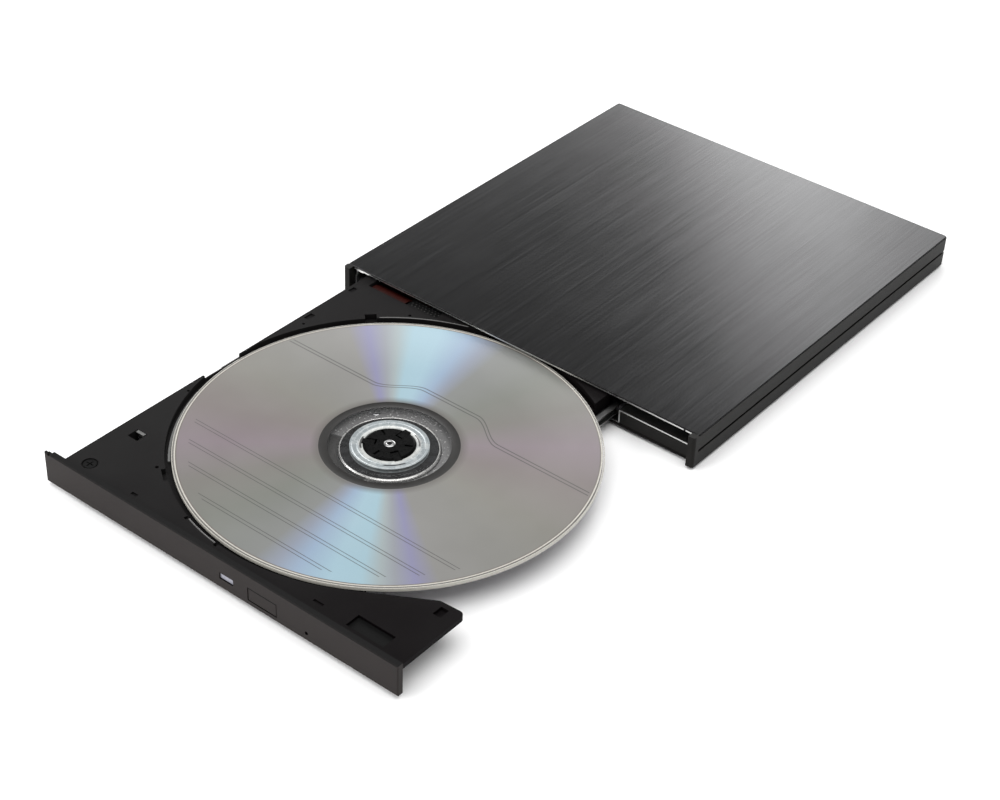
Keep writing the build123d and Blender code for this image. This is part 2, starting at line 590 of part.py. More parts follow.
with BuildPart() as tray_cover:
    cover_z = TRAY_LOW - 0.5
    with BuildSketch(Plane.XY.offset(cz(cover_z))) as cover_plan:
        with Locations(((TRAY_LEFT + TRAY_RIGHT) / 2, fy((TRAY_FRONT + TRAY_REAR) / 2))):
            Rectangle(TRAY_RIGHT - TRAY_LEFT - 0.8, TRAY_REAR - TRAY_FRONT - 2.4)
        fillet(cover_plan.vertices(), radius=2)
    extrude(amount=0.4)
    # raised seat rings for the screws and a vent field
    for hole_x in (-50.0, -12.0, 26.0):
        for hole_y in (-116.0, -7.0):
            post(hole_x, hole_y, cover_z - 0.1, cover_z + 0.5, 1.0, mode=Mode.SUBTRACT)
save(tray_cover, "tray_cover")

with BuildPart() as tray_cover_screws:
    for hole_x in (-50.0, -12.0, 26.0):
        for hole_y in (-116.0, -7.0):
            post(hole_x, hole_y, cover_z - 0.02, cover_z + 0.38, 0.9)
            post(hole_x, hole_y, cover_z - 0.3, cover_z - 0.01, 1.6)
            post(hole_x, hole_y, cover_z - 0.31, cover_z - 0.15, 0.6, mode=Mode.SUBTRACT)
save(tray_cover_screws, "tray_cover_screws")

with BuildPart() as tray_screw:
    post(TRAY_SCREW_X, TRAY_SCREW_Y, 8.3, 8.85, 1.9)
    post(TRAY_SCREW_X, TRAY_SCREW_Y, 6.0, 8.31, 0.85)
    for half_x, half_y in ((1.2, 0.2), (0.2, 1.2)):
        with Locations((TRAY_SCREW_X, fy(TRAY_SCREW_Y), cz(8.8))):
            Box(2 * half_x, 2 * half_y, 0.4, mode=Mode.SUBTRACT)
save(tray_screw, "tray_screw")

with BuildPart() as deck_clip:
    # sprung steel tongue standing at the back of the square deck hole
    block(DECK_HOLE_X - 1.5, DECK_HOLE_X + 1.5, DECK_HOLE_Y + 1.5, DECK_HOLE_Y + 1.9, 5.2, 8.95)
    block(DECK_HOLE_X - 1.5, DECK_HOLE_X + 1.5, DECK_HOLE_Y + 0.9, DECK_HOLE_Y + 1.6, 8.7, 8.95)
save(deck_clip, "deck_clip")

with BuildPart() as wing_pad:
    block(43.3, 55.5, -121.2, -116.6, 8.0, 8.25)
save(wing_pad, "wing_pad")

with BuildPart() as tray_board:
    block(BOARD_LEFT, BOARD_RIGHT, REAR_CUT_Y + 0.05, TRAY_REAR - 0.2, 7.4, 7.9)
    # two posts that stand on the floor of the cut-out
    for post_x in (BOARD_LEFT + 1.5, BOARD_RIGHT - 1.5):
        post(post_x, -1.0, CUT_FLOOR, 7.4, 0.8)
save(tray_board, "tray_board")

with BuildPart() as tray_flex:
    with BuildSketch(Plane.YZ.offset(FLEX_LEFT)):
        with BuildLine():
            Polyline(
                (fy(REAR_CUT_Y + 0.05), cz(8.3)),
                (fy(-0.8), cz(8.2)),
                (fy(TRAY_REAR - 0.1), cz(7.2)),
                (fy(TRAY_REAR - 0.1), cz(7.0)),
                (fy(-0.9), cz(8.0)),
                (fy(REAR_CUT_Y + 0.05), cz(8.1)),
                close=True,
            )
        make_face()
    extrude(amount=FLEX_RIGHT - FLEX_LEFT)
save(tray_flex, "tray_flex")

with BuildPart() as latch_solenoid:
    block(37.2, 44.8, -121.2, -117.0, 5.75, 7.35)
    block(44.8, 45.6, -119.9, -118.3, 6.2, 6.9)
save(latch_solenoid, "latch_solenoid")

LEVER_X = 52.6
LEVER_Y = -117.6

with BuildPart() as latch_lever:
    with BuildSketch(Plane.XY.offset(cz(5.9))):
        with Locations((LEVER_X, fy(LEVER_Y))):
            Circle(1.5)
        with BuildLine():
            Polyline(
                (LEVER_X - 1.0, fy(LEVER_Y)),
                (LEVER_X + 1.0, fy(LEVER_Y)),
                (LEVER_X + 1.2, fy(LEVER_Y + 9.5)),
                (LEVER_X - 0.6, fy(LEVER_Y + 9.5)),
                close=True,
            )
        make_face()
        with BuildLine():
            Polyline(
                (LEVER_X, fy(LEVER_Y - 1.0)),
                (LEVER_X, fy(LEVER_Y + 0.8)),
                (LEVER_X - 6.0, fy(LEVER_Y - 0.6)),
                (LEVER_X - 6.0, fy(LEVER_Y - 1.9)),
                close=True,
            )
        make_face()
    extrude(amount=1.0)
    post(LEVER_X, LEVER_Y, 5.8, 7.0, 0.7, mode=Mode.SUBTRACT)
save(latch_lever, "latch_lever")

with BuildPart() as lever_post:
    post(LEVER_X, LEVER_Y, 5.7, DECK_HIGH - DECK_T, 0.66)
    post(LEVER_X, LEVER_Y, 5.5, 5.8, 1.2)
save(lever_post, "lever_post")

# ---------------------------------------------------------------- spindle

with BuildPart() as spindle_base:
    ring(SHAFT_R + SHAFT_CLEAR, 14.0, 3.4, 3.8)
    ring(SHAFT_R + SHAFT_CLEAR, 2.6, 3.7, 5.9)
    post(SPIN_X, SPIN_Y, 3.3, 3.5, SHAFT_R + SHAFT_CLEAR)
save(spindle_base, "spindle_base")

TEETH = 9

with BuildPart() as stator_coils:
    ring(2.65, 4.6, 3.85, 5.6)
    for tooth in range(TEETH):
        turn = Location((SPIN_X, fy(SPIN_Y), 0), (0, 0, 360 / TEETH * tooth))
        with Locations(turn * Location((7.3, 0, cz(4.72)))):
            Box(5.6, 1.9, 1.6)
        with Locations(turn * Location((10.4, 0, cz(4.72)))):
            Box(0.9, 5.6, 1.6)
save(stator_coils, "stator_coils")

with BuildPart() as rotor_bell:
    ring(SHAFT_R, ROTOR_R, 6.2, 6.6)
    ring(ROTOR_R - 0.7, ROTOR_R, 4.1, 6.3)
save(rotor_bell, "rotor_bell")

with BuildPart() as spindle_shaft:
    post(SPIN_X, SPIN_Y, 3.55, 9.0, SHAFT_R)
    chamfer(spindle_shaft.faces().sort_by(Axis.Z)[-1].edges(), length=0.3)
save(spindle_shaft, "spindle_shaft")

with BuildPart() as turntable:
    ring(SHAFT_R, 14.3, 6.6, 7.05)
    ring(SHAFT_R, HUB_R, 7.0, 7.9)
save(turntable, "turntable")

with BuildPart() as turntable_pad:
    ring(11.4, 13.7, 7.05, DISC_LOW)
save(turntable_pad, "turntable_pad")

with BuildPart() as hub_cap:
    ring(SHAFT_R, HUB_R, 7.9, 8.95)
    chamfer(hub_cap.faces().sort_by(Axis.Z)[-1].edges().sort_by(SortBy.LENGTH)[-1], length=0.5)
    for claw in range(CLAW_COUNT):
        turn = Location((SPIN_X, fy(SPIN_Y), 0), (0, 0, 90 + 360 / CLAW_COUNT * claw))
        with Locations(turn * Location((6.0, 0, cz(8.6)))):
            Box(4.6, CLAW_W + 0.2, 1.3, mode=Mode.SUBTRACT)
    # relief slots between the claws
    for slot in range(CLAW_COUNT):
        turn = Location((SPIN_X, fy(SPIN_Y), 0), (0, 0, 30 + 360 / CLAW_COUNT * slot))
        with Locations(turn * Location((5.4, 0, cz(8.8)))):
            Box(2.4, 0.7, 0.6, mode=Mode.SUBTRACT)
save(hub_cap, "hub_cap")

CLAW_NAMES = ("hub_claw_back", "hub_claw_left", "hub_claw_right")

for claw in range(CLAW_COUNT):
    turn = Location((SPIN_X, fy(SPIN_Y), 0), (0, 0, 90 + 360 / CLAW_COUNT * claw))
    with BuildPart() as hub_claw:
        with Locations(turn * Location((5.75, 0, cz(8.4)))):
            Box(2.9, CLAW_W, 0.8)
        with Locations(turn * Location((7.3, 0, cz(8.73)))):
            Box(1.1, CLAW_W, 0.18)
    save(hub_claw, CLAW_NAMES[claw])

with BuildPart() as disc:
    with BuildSketch(Plane.XY.offset(cz(DISC_LOW))):
        with Locations((SPIN_X, fy(SPIN_Y))):
            Circle(DISC_R)
            Circle(DISC_HOLE_R, mode=Mode.SUBTRACT)
    extrude(amount=DISC_T)
    outer_edges = disc.edges().sort_by(SortBy.LENGTH)[-2:]
    chamfer(outer_edges, length=0.15)
    # stacking ring and moulding groove round the hub area
    ring_z = DISC_LOW + DISC_T
    with BuildSketch(Plane.XY.offset(cz(ring_z - 0.15))):
        with Locations((SPIN_X, fy(SPIN_Y))):
            Circle(11.6)
            Circle(11.0, mode=Mode.SUBTRACT)
    extrude(amount=0.3, mode=Mode.SUBTRACT)
    with BuildSketch(Plane.XY.offset(cz(ring_z))):
        with Locations((SPIN_X, fy(SPIN_Y))):
            Circle(17.6)
            Circle(16.9, mode=Mode.SUBTRACT)
    extrude(amount=0.12)
save(disc, "disc")

# ---------------------------------------------------------------- pickup mechanism

with BuildPart() as mech_frame:
    line_block(-20, 63, -21, 19, 3.0, 3.3)
    line_block(2, 63, 18, 24.5, 3.0, 3.3)
    line_block(13, 60, -13, 13, 2.9, 3.4, mode=Mode.SUBTRACT)
    # stands that hold the rod ends and the end of the lead screw
    for side in (-ROD_SIDE, ROD_SIDE):
        line_block(-20, -18.2, side - 2, side + 2, 3.3, 5.5)
        line_block(61, 63, side - 2, side + 2, 3.3, 5.5)
    line_block(60.9, 63, SCREW_SIDE - 1.6, SCREW_SIDE + 2, 3.3, 5.5)
    # pads under the spindle base
    line_block(-12, -9, -4, 4, 3.25, 3.4)
    line_block(-4, 4, -13, -9, 3.25, 3.4)
    line_block(-4, 4, 9, 13, 3.25, 3.4)
save(mech_frame, "mech_frame")

with BuildPart() as guide_rods:
    for side in (-ROD_SIDE, ROD_SIDE):
        line_rod(-18.2, 61.0, side, ROD_Z, ROD_R)
save(guide_rods, "guide_rods")

SLED_IN = LENS_REST - 7.6
SLED_OUT = LENS_REST + 4.4
SLED_HALF_W = 18.5

with BuildPart() as pickup_sled:
    line_block(SLED_IN, SLED_OUT, -SLED_HALF_W, SLED_HALF_W, 3.55, 5.45)
    line_block(SLED_IN + 0.5, SLED_OUT - 0.3, -9, 9, 5.4, 5.9)
    for side in (-ROD_SIDE, ROD_SIDE):
        line_rod(SLED_IN - 1, SLED_OUT + 1, side, ROD_Z, ROD_R + ROD_CLEAR, mode=Mode.SUBTRACT)
    line_block(LENS_REST - 3.4, LENS_REST + 3.4, -4.6, 4.6, 4.5, 6.2, mode=Mode.SUBTRACT)
save(pickup_sled, "pickup_sled")

with BuildPart() as laser_module:
    line_block(LENS_REST - 2.2, LENS_REST + 2.2, 9.4, 14.2, 5.45, 5.55)
    line_block(LENS_REST - 1.5, LENS_REST + 1.5, -14, -9.6, 5.45, 5.55)
save(laser_module, "laser_module")

with BuildPart() as sled_nut:
    line_block(LENS_REST - 2, LENS_REST + 2, SLED_HALF_W, SCREW_SIDE + 1.6, 3.6, 5.5)
    line_rod(LENS_REST - 3, LENS_REST + 3, SCREW_SIDE, SCREW_Z, SCREW_R + SHAFT_CLEAR, mode=Mode.SUBTRACT)
save(sled_nut, "sled_nut")

with BuildPart() as lens_holder:
    line_block(LENS_REST - 2.8, LENS_REST + 2.8, -4, 4, 4.9, 5.9)
    for side in (-3.3, 3.3):
        line_block(LENS_REST - 1.5, LENS_REST + 1.5, side - 0.3, side + 0.3, 4.8, 6.0, mode=Mode.SUBTRACT)
save(lens_holder, "lens_holder")

with BuildPart() as objective_lens:
    with Locations(pickup_line.location * Location((LENS_REST, 0, cz(6.0)))):
        Cylinder(1.9, 0.2)
    with Locations(pickup_line.location * Location((LENS_REST, 0, cz(6.15)))):
        Cylinder(1.3, 0.1)
save(objective_lens, "objective_lens")

with BuildPart() as lead_screw:
    line_rod(18.4, 60.8, SCREW_SIDE, SCREW_Z, SCREW_R)
    line_rod(17.6, 18.5, SCREW_SIDE, SCREW_Z, 0.5)
save(lead_screw, "lead_screw")

with BuildPart() as sled_motor:
    line_rod(6.0, 17.5, SCREW_SIDE, SCREW_Z, 1.35)
    line_block(7.0, 16.5, SCREW_SIDE - 1.0, SCREW_SIDE + 1.0, 3.3, 4.4)
save(sled_motor, "sled_motor")
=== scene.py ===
import json
import math

import bmesh
import bpy
from mathutils import Matrix, Vector


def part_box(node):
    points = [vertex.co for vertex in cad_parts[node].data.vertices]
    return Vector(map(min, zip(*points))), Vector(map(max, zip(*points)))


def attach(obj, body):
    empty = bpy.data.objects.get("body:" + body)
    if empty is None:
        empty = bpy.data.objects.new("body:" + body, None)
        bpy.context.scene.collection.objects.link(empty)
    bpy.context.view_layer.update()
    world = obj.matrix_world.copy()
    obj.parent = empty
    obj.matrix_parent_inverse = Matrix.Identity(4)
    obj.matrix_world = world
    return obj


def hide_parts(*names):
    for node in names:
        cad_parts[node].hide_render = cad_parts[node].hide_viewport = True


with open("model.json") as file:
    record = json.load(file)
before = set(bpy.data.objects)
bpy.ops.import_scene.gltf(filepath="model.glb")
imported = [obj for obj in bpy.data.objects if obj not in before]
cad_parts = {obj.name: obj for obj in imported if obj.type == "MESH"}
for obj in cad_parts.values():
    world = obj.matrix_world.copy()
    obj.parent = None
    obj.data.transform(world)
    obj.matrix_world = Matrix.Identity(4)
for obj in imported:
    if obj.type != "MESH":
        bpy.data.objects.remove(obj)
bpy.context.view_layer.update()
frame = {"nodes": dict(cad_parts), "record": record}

MM = 0.001

# ------------------------------------------------------------------ camera, floor and light

# aim point, distance, and the turn, height and roll in degrees
CAM_TARGET = Vector((10.731, -16.407, 0.8)) * MM
CAM_DIST = 607.36 * MM
CAM_AZ, CAM_EL, CAM_ROLL = (math.radians(a) for a in (36.612, 36.405, 3.042))
SENSOR = 36.0
# focal length, optical centre and frame size, in dots of the finished picture
FOCAL_PX, CENTRE_PX, FRAME_PX = 2061.5, (525.33, 399.48), (1000, 800)
NEAR_CLIP, FAR_CLIP = 0.01, 50

WORLD_STRENGTH = 0.46
FLOOR_SIZE, FLOOR_WHITE, FLOOR_ROUGH, FLOOR_SPECULAR = 6, 0.95, 0.9, 0.1
BOX_TILT = math.radians(20)


def make_camera():
    """A camera that turns round its aim point, rolled a little, with the frame shifted to suit."""
    data = bpy.data.cameras.new("camera")
    cam = bpy.data.objects.new("camera", data)
    bpy.context.scene.collection.objects.link(cam)
    level = math.cos(CAM_EL)
    back = Vector((math.sin(CAM_AZ) * level, -math.cos(CAM_AZ) * level, math.sin(CAM_EL)))
    x = Vector((0, 0, 1)).cross(back).normalized()
    y = back.cross(x)
    c, s = math.cos(CAM_ROLL), math.sin(CAM_ROLL)
    x, y = c * x + s * y, c * y - s * x
    turn = Matrix((x, y, back)).transposed().to_4x4()
    cam.matrix_world = Matrix.Translation(CAM_TARGET + CAM_DIST * back) @ turn
    data.sensor_width = SENSOR
    data.lens = FOCAL_PX * SENSOR / FRAME_PX[0]
    data.shift_x = (FRAME_PX[0] / 2 - CENTRE_PX[0]) / FRAME_PX[0]
    data.shift_y = (CENTRE_PX[1] - FRAME_PX[1] / 2) / FRAME_PX[0]
    data.clip_start, data.clip_end = NEAR_CLIP, FAR_CLIP
    bpy.context.scene.camera = cam


def area_light(name, at, aim, size, power, tilt=0.0):
    """A rectangular soft box of a size in metres and a power in watts, turned round its own beam."""
    data = bpy.data.lights.new(name, "AREA")
    data.shape = "RECTANGLE"
    data.size, data.size_y = size
    data.energy = power
    lamp = bpy.data.objects.new(name, data)
    bpy.context.scene.collection.objects.link(lamp)
    lamp.location = at
    lamp.rotation_euler = (Vector(aim) - Vector(at)).to_track_quat("-Z", "Y").to_euler()
    lamp.rotation_euler.rotate_axis("Z", tilt)


def aim_from(turn, rise, distance):
    """A point seen from the origin at an angle from +X and a height angle, in degrees."""
    t, r = math.radians(turn), math.radians(rise)
    return Vector((math.cos(t) * math.cos(r), math.sin(t) * math.cos(r), math.sin(r))) * distance


def make_studio():
    """Even white surroundings, soft boxes and a plain pale floor."""
    world = bpy.data.worlds.new("studio")
    bpy.context.scene.world = world
    world.use_nodes = True
    sky = world.node_tree.nodes["Background"]
    sky.inputs["Color"].default_value = (1.0, 1.0, 1.0, 1)
    sky.inputs["Strength"].default_value = WORLD_STRENGTH
    bpy.context.scene.view_settings.view_transform = "Standard"
    area_light("overhead", (0.1, -0.1, 1.3), (0, -0.05, 0), (1.6, 1.6), 19)
    # two leaning upright boxes behind the case, and a low wide one, mirrored by the top plate
    area_light("bright_box", aim_from(120.4, 23.4, 4.0), (0, 0, 0), (0.35, 1.66), 10.2, BOX_TILT)
    area_light("side_box", aim_from(115.3, 24.1, 4.0), (0, 0, 0), (0.52, 1.76), 9.0, BOX_TILT)
    area_light("low_box", aim_from(125, 15.5, 4.0), (0, 0, 0), (5.6, 1.77), 66)
    # fill from the front left, so no hard shadow lies before the bezel
    area_light("front_fill", aim_from(-128, 26, 3.0), (0, -0.1, 0), (2.4, 1.2), 52)
    bm = bmesh.new()
    bmesh.ops.create_grid(bm, x_segments=2, y_segments=2, size=FLOOR_SIZE)
    mesh = bpy.data.meshes.new("floor")
    bm.to_mesh(mesh)
    floor = bpy.data.objects.new("floor", mesh)
    bpy.context.scene.collection.objects.link(floor)
    mat = bpy.data.materials.new("floor")
    mat.use_nodes = True
    shader = mat.node_tree.nodes["Principled BSDF"]
    shader.inputs["Base Color"].default_value = (FLOOR_WHITE, FLOOR_WHITE, FLOOR_WHITE, 1)
    shader.inputs["Roughness"].default_value = FLOOR_ROUGH
    shader.inputs["Specular IOR Level"].default_value = FLOOR_SPECULAR
    mesh.materials.append(mat)


# ------------------------------------------------------------------ materials

# most of a noise texture's values lie between these two
NOISE_LO, NOISE_HI = 0.3, 0.7
# stretch of a grain that follows the rolling of a sheet, along y
ROLLED = (1, 0.15, 1)
BLACKENED = ("tray_screw", "wing_pad", "spindle_shaft")
# brushed grain: how much of it is short hairs rather than long strands, and the range its colour uses
HAIR_SHARE, STREAK_SPAN = 0.55, (0.34, 0.66)
# where the tray's moulding is painted greyer, as painted light and shade: fades from the left to the right
# and from the front to the back
PAINTED_SHADE_X, PAINTED_SHADE_Y = (-60 * MM, 45 * MM), (-60 * MM, -8 * MM)


class Surface:
    """A Principled material with helpers for the nodes that feed it."""

    def __init__(self, name, **fixed):
        self.mat = bpy.data.materials.new(name)
        self.mat.use_nodes = True
        self.tree = self.mat.node_tree
        self.shader = self.tree.nodes["Principled BSDF"]
        for socket, value in fixed.items():
            self.shader.inputs[socket.replace("_", " ")].default_value = value
        self.coord = self.node("ShaderNodeTexCoord").outputs["Object"]

    def node(self, kind, inputs=None, **attrs):
        """Adds a node whose inputs are linked to sockets or set to values."""
        made = self.tree.nodes.new(kind)
        for key, value in attrs.items():
            setattr(made, key, value)
        for key, value in (inputs or {}).items():
            if isinstance(value, bpy.types.NodeSocket):
                self.tree.links.new(value, made.inputs[key])
            else:
                made.inputs[key].default_value = value
        return made

    def feed(self, socket, value):
        """Links a value to a socket of the shader."""
        self.tree.links.new(value, self.shader.inputs[socket])

    def noise(self, scale, detail=2.0, stretch=(1, 1, 1)):
        """Noise fixed to the object, with its scale per metre, squeezed along each axis by the stretch."""
        at = self.coord
        if stretch != (1, 1, 1):
            at = self.node("ShaderNodeMapping", {"Vector": at, "Scale": stretch}).outputs["Vector"]
        made = self.node("ShaderNodeTexNoise", {"Vector": at, "Scale": scale, "Detail": detail})
        return made.outputs["Fac"]

    def span(self, value, lo, hi, out_lo, out_hi):
        """Maps one range to another and stays within it."""
        made = self.node(
            "ShaderNodeMapRange",
            {"Value": value, "From Min": lo, "From Max": hi, "To Min": out_lo, "To Max": out_hi},
        )
        return made.outputs["Result"]

    def grade(self, noise, out_lo, out_hi):
        """Spreads a noise over a range of its own."""
        return self.span(noise, NOISE_LO, NOISE_HI, out_lo, out_hi)

    def facing(self, axis):
        """How far the surface looks along an axis of the object, from -1 to 1."""
        normal = self.node("ShaderNodeTexCoord").outputs["Normal"]
        return self.node("ShaderNodeSeparateXYZ", {0: normal}).outputs[axis]

    def round_hub(self):
        """x, y and the radius from the spindle's axis, in mm."""
        away = self.node("ShaderNodeVectorMath", {0: self.coord, 1: SPIN}, operation="SUBTRACT").outputs[0]
        in_mm = {0: away, 1: (1 / MM, 1 / MM, 0)}
        flat = self.node("ShaderNodeVectorMath", in_mm, operation="MULTIPLY").outputs[0]
        axes = self.node("ShaderNodeSeparateXYZ", {0: flat})
        radius = self.node("ShaderNodeVectorMath", {0: flat}, operation="LENGTH").outputs["Value"]
        return axes.outputs[0], axes.outputs[1], radius

    def maths(self, op, a, b=0.0):
        """One step of arithmetic."""
        return self.node("ShaderNodeMath", {0: a, 1: b}, operation=op).outputs[0]

    def ease(self, value, lo, hi, out_lo, out_hi):
        """Like span, with a soft start and end."""
        made = self.span(value, lo, hi, out_lo, out_hi)
        made.node.interpolation_type = "SMOOTHSTEP"
        return made

    def stripe(self, value, middle, half_width):
        """One within half a width of the middle, zero elsewhere."""
        made = self.maths("COMPARE", value, middle)
        made.node.inputs[2].default_value = half_width
        return made

    def mix(self, fac, a, b):
        """A colour between two others."""
        made = self.node("ShaderNodeMix", data_type="RGBA")
        for key, value in ((0, fac), (6, a), (7, b)):
            if isinstance(value, bpy.types.NodeSocket):
                self.tree.links.new(value, made.inputs[key])
            else:
                made.inputs[key].default_value = value
        return made.outputs[2]

    def bump(self, height, strength, distance):
        """Fine relief of the surface from a height value."""
        made = self.node("ShaderNodeBump", {"Height": height, "Strength": strength, "Distance": distance})
        self.feed("Normal", made.outputs["Normal"])


def linear(colour):
    """Scene-linear values of an sRGB colour given in bytes."""
    return tuple(((c / 255 + 0.055) / 1.055) ** 2.4 for c in colour)


def rgba(colour, k=1.0):
    """An opaque colour, made k times as bright."""
    return tuple(c * k for c in colour) + (1,)


def moulded(name, colour, rough, metal=0.0, vary=0.12, grain=2600, bump=0.25, depth=0.02 * MM,
            rough_vary=0.06, stretch=(1, 1, 1), patch=60, **fixed):
    """A finish with slow colour drift, fine grain in roughness and bump."""
    s = Surface(name, Metallic=metal, **fixed)
    drift = s.noise(patch, 3)
    fine = s.noise(grain, 2, stretch)
    blend = s.maths("ADD", s.maths("MULTIPLY", drift, 0.5), s.maths("MULTIPLY", fine, 0.5))
    tone = s.grade(blend, 0.0, 1.0)
    s.feed("Base Color", s.mix(tone, rgba(colour, 1 - vary), rgba(colour, 1 + vary)))
    s.feed("Roughness", s.grade(fine, rough - rough_vary, rough + rough_vary))
    if bump:
        s.bump(fine, bump, depth)
    return s.mat


def brushed_plate():
    """Black anodised aluminium with a long grain from front to back."""
    s = Surface("brushed_black", Metallic=1.0)
    hair = s.noise(110, 3, (24, 0.5, 1))
    strand = s.noise(100, 2, (12, 0.08, 1))
    mottle = s.noise(35, 2)
    short, long = s.maths("MULTIPLY", hair, HAIR_SHARE), s.maths("MULTIPLY", strand, 1 - HAIR_SHARE)
    streak = s.maths("ADD", short, long)
    tone = s.span(streak, *STREAK_SPAN, 0.0, 1.0)
    s.feed("Base Color", s.mix(tone, (0.0205, 0.0205, 0.021, 1), (0.0355, 0.0355, 0.0365, 1)))
    s.feed("Roughness", s.maths("ADD", s.grade(streak, 0.165, 0.205), s.grade(mottle, -0.01, 0.01)))
    s.bump(hair, 0.2, 0.01 * MM)
    return s.mat


def tray_plastic():
    """Near-black moulding with a fine grain, greyer towards the front left corner: painted light and shade.
    """
    s = Surface("tray_plastic", Specular_IOR_Level=0.03)
    axes = s.node("ShaderNodeSeparateXYZ", {0: s.coord})
    # painted light and shade: lighter towards the front left, darker towards the back right
    leftward = s.span(axes.outputs[0], *PAINTED_SHADE_X, 1.0, 0.1)
    forward = s.span(axes.outputs[1], *PAINTED_SHADE_Y, 1.0, 0.55)
    painted_shade_and_drift = s.maths("ADD", s.maths("MULTIPLY", leftward, forward), s.grade(s.noise(60, 3), -0.1, 0.1))
    fine = s.noise(4200, 2)
    tone = s.maths("ADD", painted_shade_and_drift, s.grade(fine, -0.1, 0.1))
    s.feed("Base Color", s.mix(tone, (0.0036, 0.0027, 0.0030, 1), (0.0130, 0.0126, 0.0126, 1)))
    s.feed("Roughness", s.grade(fine, 0.42, 0.54))
    s.bump(fine, 0.45, 0.03 * MM)
    return s.mat


def bezel_plastic():
    """Warm charcoal faces with a fine grain; the faces that look up are much darker, as painted shade."""
    s = Surface("bezel_plastic", Specular_IOR_Level=0.1)
    fine = s.noise(4200, 2)
    drift = s.maths("ADD", s.maths("MULTIPLY", s.noise(60, 3), 0.5), s.maths("MULTIPLY", fine, 0.5))
    front = s.mix(s.grade(drift, 0.0, 1.0), (0.0210, 0.0174, 0.0167, 1), (0.0265, 0.0224, 0.0215, 1))
    # painted shade: the faces that look up are made much darker
    painted_shade_up = s.span(s.facing(2), 0.3, 0.8, 0.0, 1.0)
    s.feed("Base Color", s.mix(painted_shade_up, front, (0.0012, 0.0010, 0.0011, 1)))
    s.feed("Roughness", s.grade(fine, 0.44, 0.56))
    s.bump(fine, 0.35, 0.02 * MM)
    return s.mat


def pressed_steel():
    """Dull zinc-coated sheet whose faces that look forward, its front sheared edges, are bright: partly bare
    metal, partly a painted highlight of the light from the front.
    """
    s = Surface("drive_steel", Metallic=1.0)
    fine = s.noise(1800, 2, ROLLED)
    coat = s.mix(s.grade(s.noise(60, 3), 0.0, 1.0), (0.20, 0.20, 0.197, 1), (0.27, 0.27, 0.266, 1))
    # faces that look forward are painted bright: bare metal and a painted highlight
    bare_edge_and_highlight = s.span(s.facing(1), -0.9, -0.6, 1.0, 0.0)
    s.feed("Base Color", s.mix(bare_edge_and_highlight, coat, (0.72, 0.72, 0.71, 1)))
    s.feed("Roughness", s.grade(fine, 0.30, 0.42))
    s.bump(fine, 0.12, 0.01 * MM)
    return s.mat


def make_finishes():
    """One finish for each slot of the record, and one for the blackened small parts."""
    steel = dict(metal=1.0, vary=0.1, grain=1800, stretch=ROLLED, bump=0.12, depth=0.01 * MM)
    return {
        "brushed_black": brushed_plate(),
        "case_plastic": moulded("case_plastic", (0.0085, 0.0081, 0.0074), 0.42, grain=3200, bump=0.3,
                                Specular_IOR_Level=0.09),
        "feet_rubber": moulded("feet_rubber", (0.02, 0.02, 0.02), 0.85, grain=1500, bump=0.5,
                               depth=0.04 * MM),
        "drive_steel": pressed_steel(),
        "dark_steel": moulded("dark_steel", (0.16, 0.16, 0.165), 0.4, **steel),
        "tray_plastic": tray_plastic(),
        "bezel_plastic": bezel_plastic(),
        "window_plastic": moulded("window_plastic", (0.31, 0.31, 0.36), 0.25, vary=0.04, bump=0.05),
        "nylon": moulded("nylon", (0.02, 0.02, 0.021), 0.55, grain=1500),
        "board_black": moulded("board_black", (0.006, 0.006, 0.006), 0.4, grain=900, Specular_IOR_Level=0.1),
        "board_green": moulded("board_green", (0.01, 0.06, 0.03), 0.35, grain=900),
        "chip": moulded("chip", (0.02, 0.02, 0.021), 0.6, grain=3000),
        "flex": moulded("flex", (0.022, 0.004, 0.003), 0.4, grain=700, Specular_IOR_Level=0.05),
        "screw_steel": moulded("screw_steel", (0.55, 0.55, 0.55), 0.25, **steel),
        "copper": moulded("copper", (0.5, 0.2, 0.08), 0.35, metal=1.0, grain=1500),
        "hub_plastic": moulded("hub_plastic", (0.002, 0.002, 0.002), 0.3, grain=1500, bump=0.1,
                               Specular_IOR_Level=0.04),
        "pad_rubber": moulded("pad_rubber", (0.014, 0.014, 0.0155), 0.8, grain=1500, Specular_IOR_Level=0.1),
        "disc_silver": moulded("disc_silver", (0.5, 0.5, 0.48), 0.3, grain=1500),
        "magnesium": moulded("magnesium", (0.3, 0.3, 0.31), 0.45, metal=1.0, grain=900, bump=0.5,
                             depth=0.05 * MM),
        "blackened": moulded("blackened", (0.003, 0.003, 0.003), 0.5, grain=1500, bump=0.3,
                             Specular_IOR_Level=0.06),
        "lens_glass": moulded("lens_glass", (0.3, 0.35, 0.5), 0.05, vary=0.05, bump=0.0),
    }


def paint_frame(finishes):
    """Every CAD node takes the finish of its slot in the record, but a few small ones are blackened."""
    for row in frame["record"]["subparts"]:
        slot = "blackened" if row["node"] in BLACKENED else row["material_slot"]
        mesh = frame["nodes"][row["node"]].data
        mesh.materials.clear()
        mesh.materials.append(finishes[slot])


# ------------------------------------------------------------------ disc and hub

DISC_LO, DISC_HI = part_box("disc")
SPIN = Vector(((DISC_LO.x + DISC_HI.x) / 2, (DISC_LO.y + DISC_HI.y) / 2, 0))
# heights and radii from here on are in mm
DISC_BOTTOM = DISC_LO.z / MM
DISC_T = 1.2
DISC_TOP = DISC_BOTTOM + DISC_T
# where the disc's rings begin: hole, clear ring, dark band and print, and its rim
HOLE_R, CLEAR_R, BAND_R, PRINT_R, DISC_R = 7.5, 11.2, 17.3, 19.9, 60.0
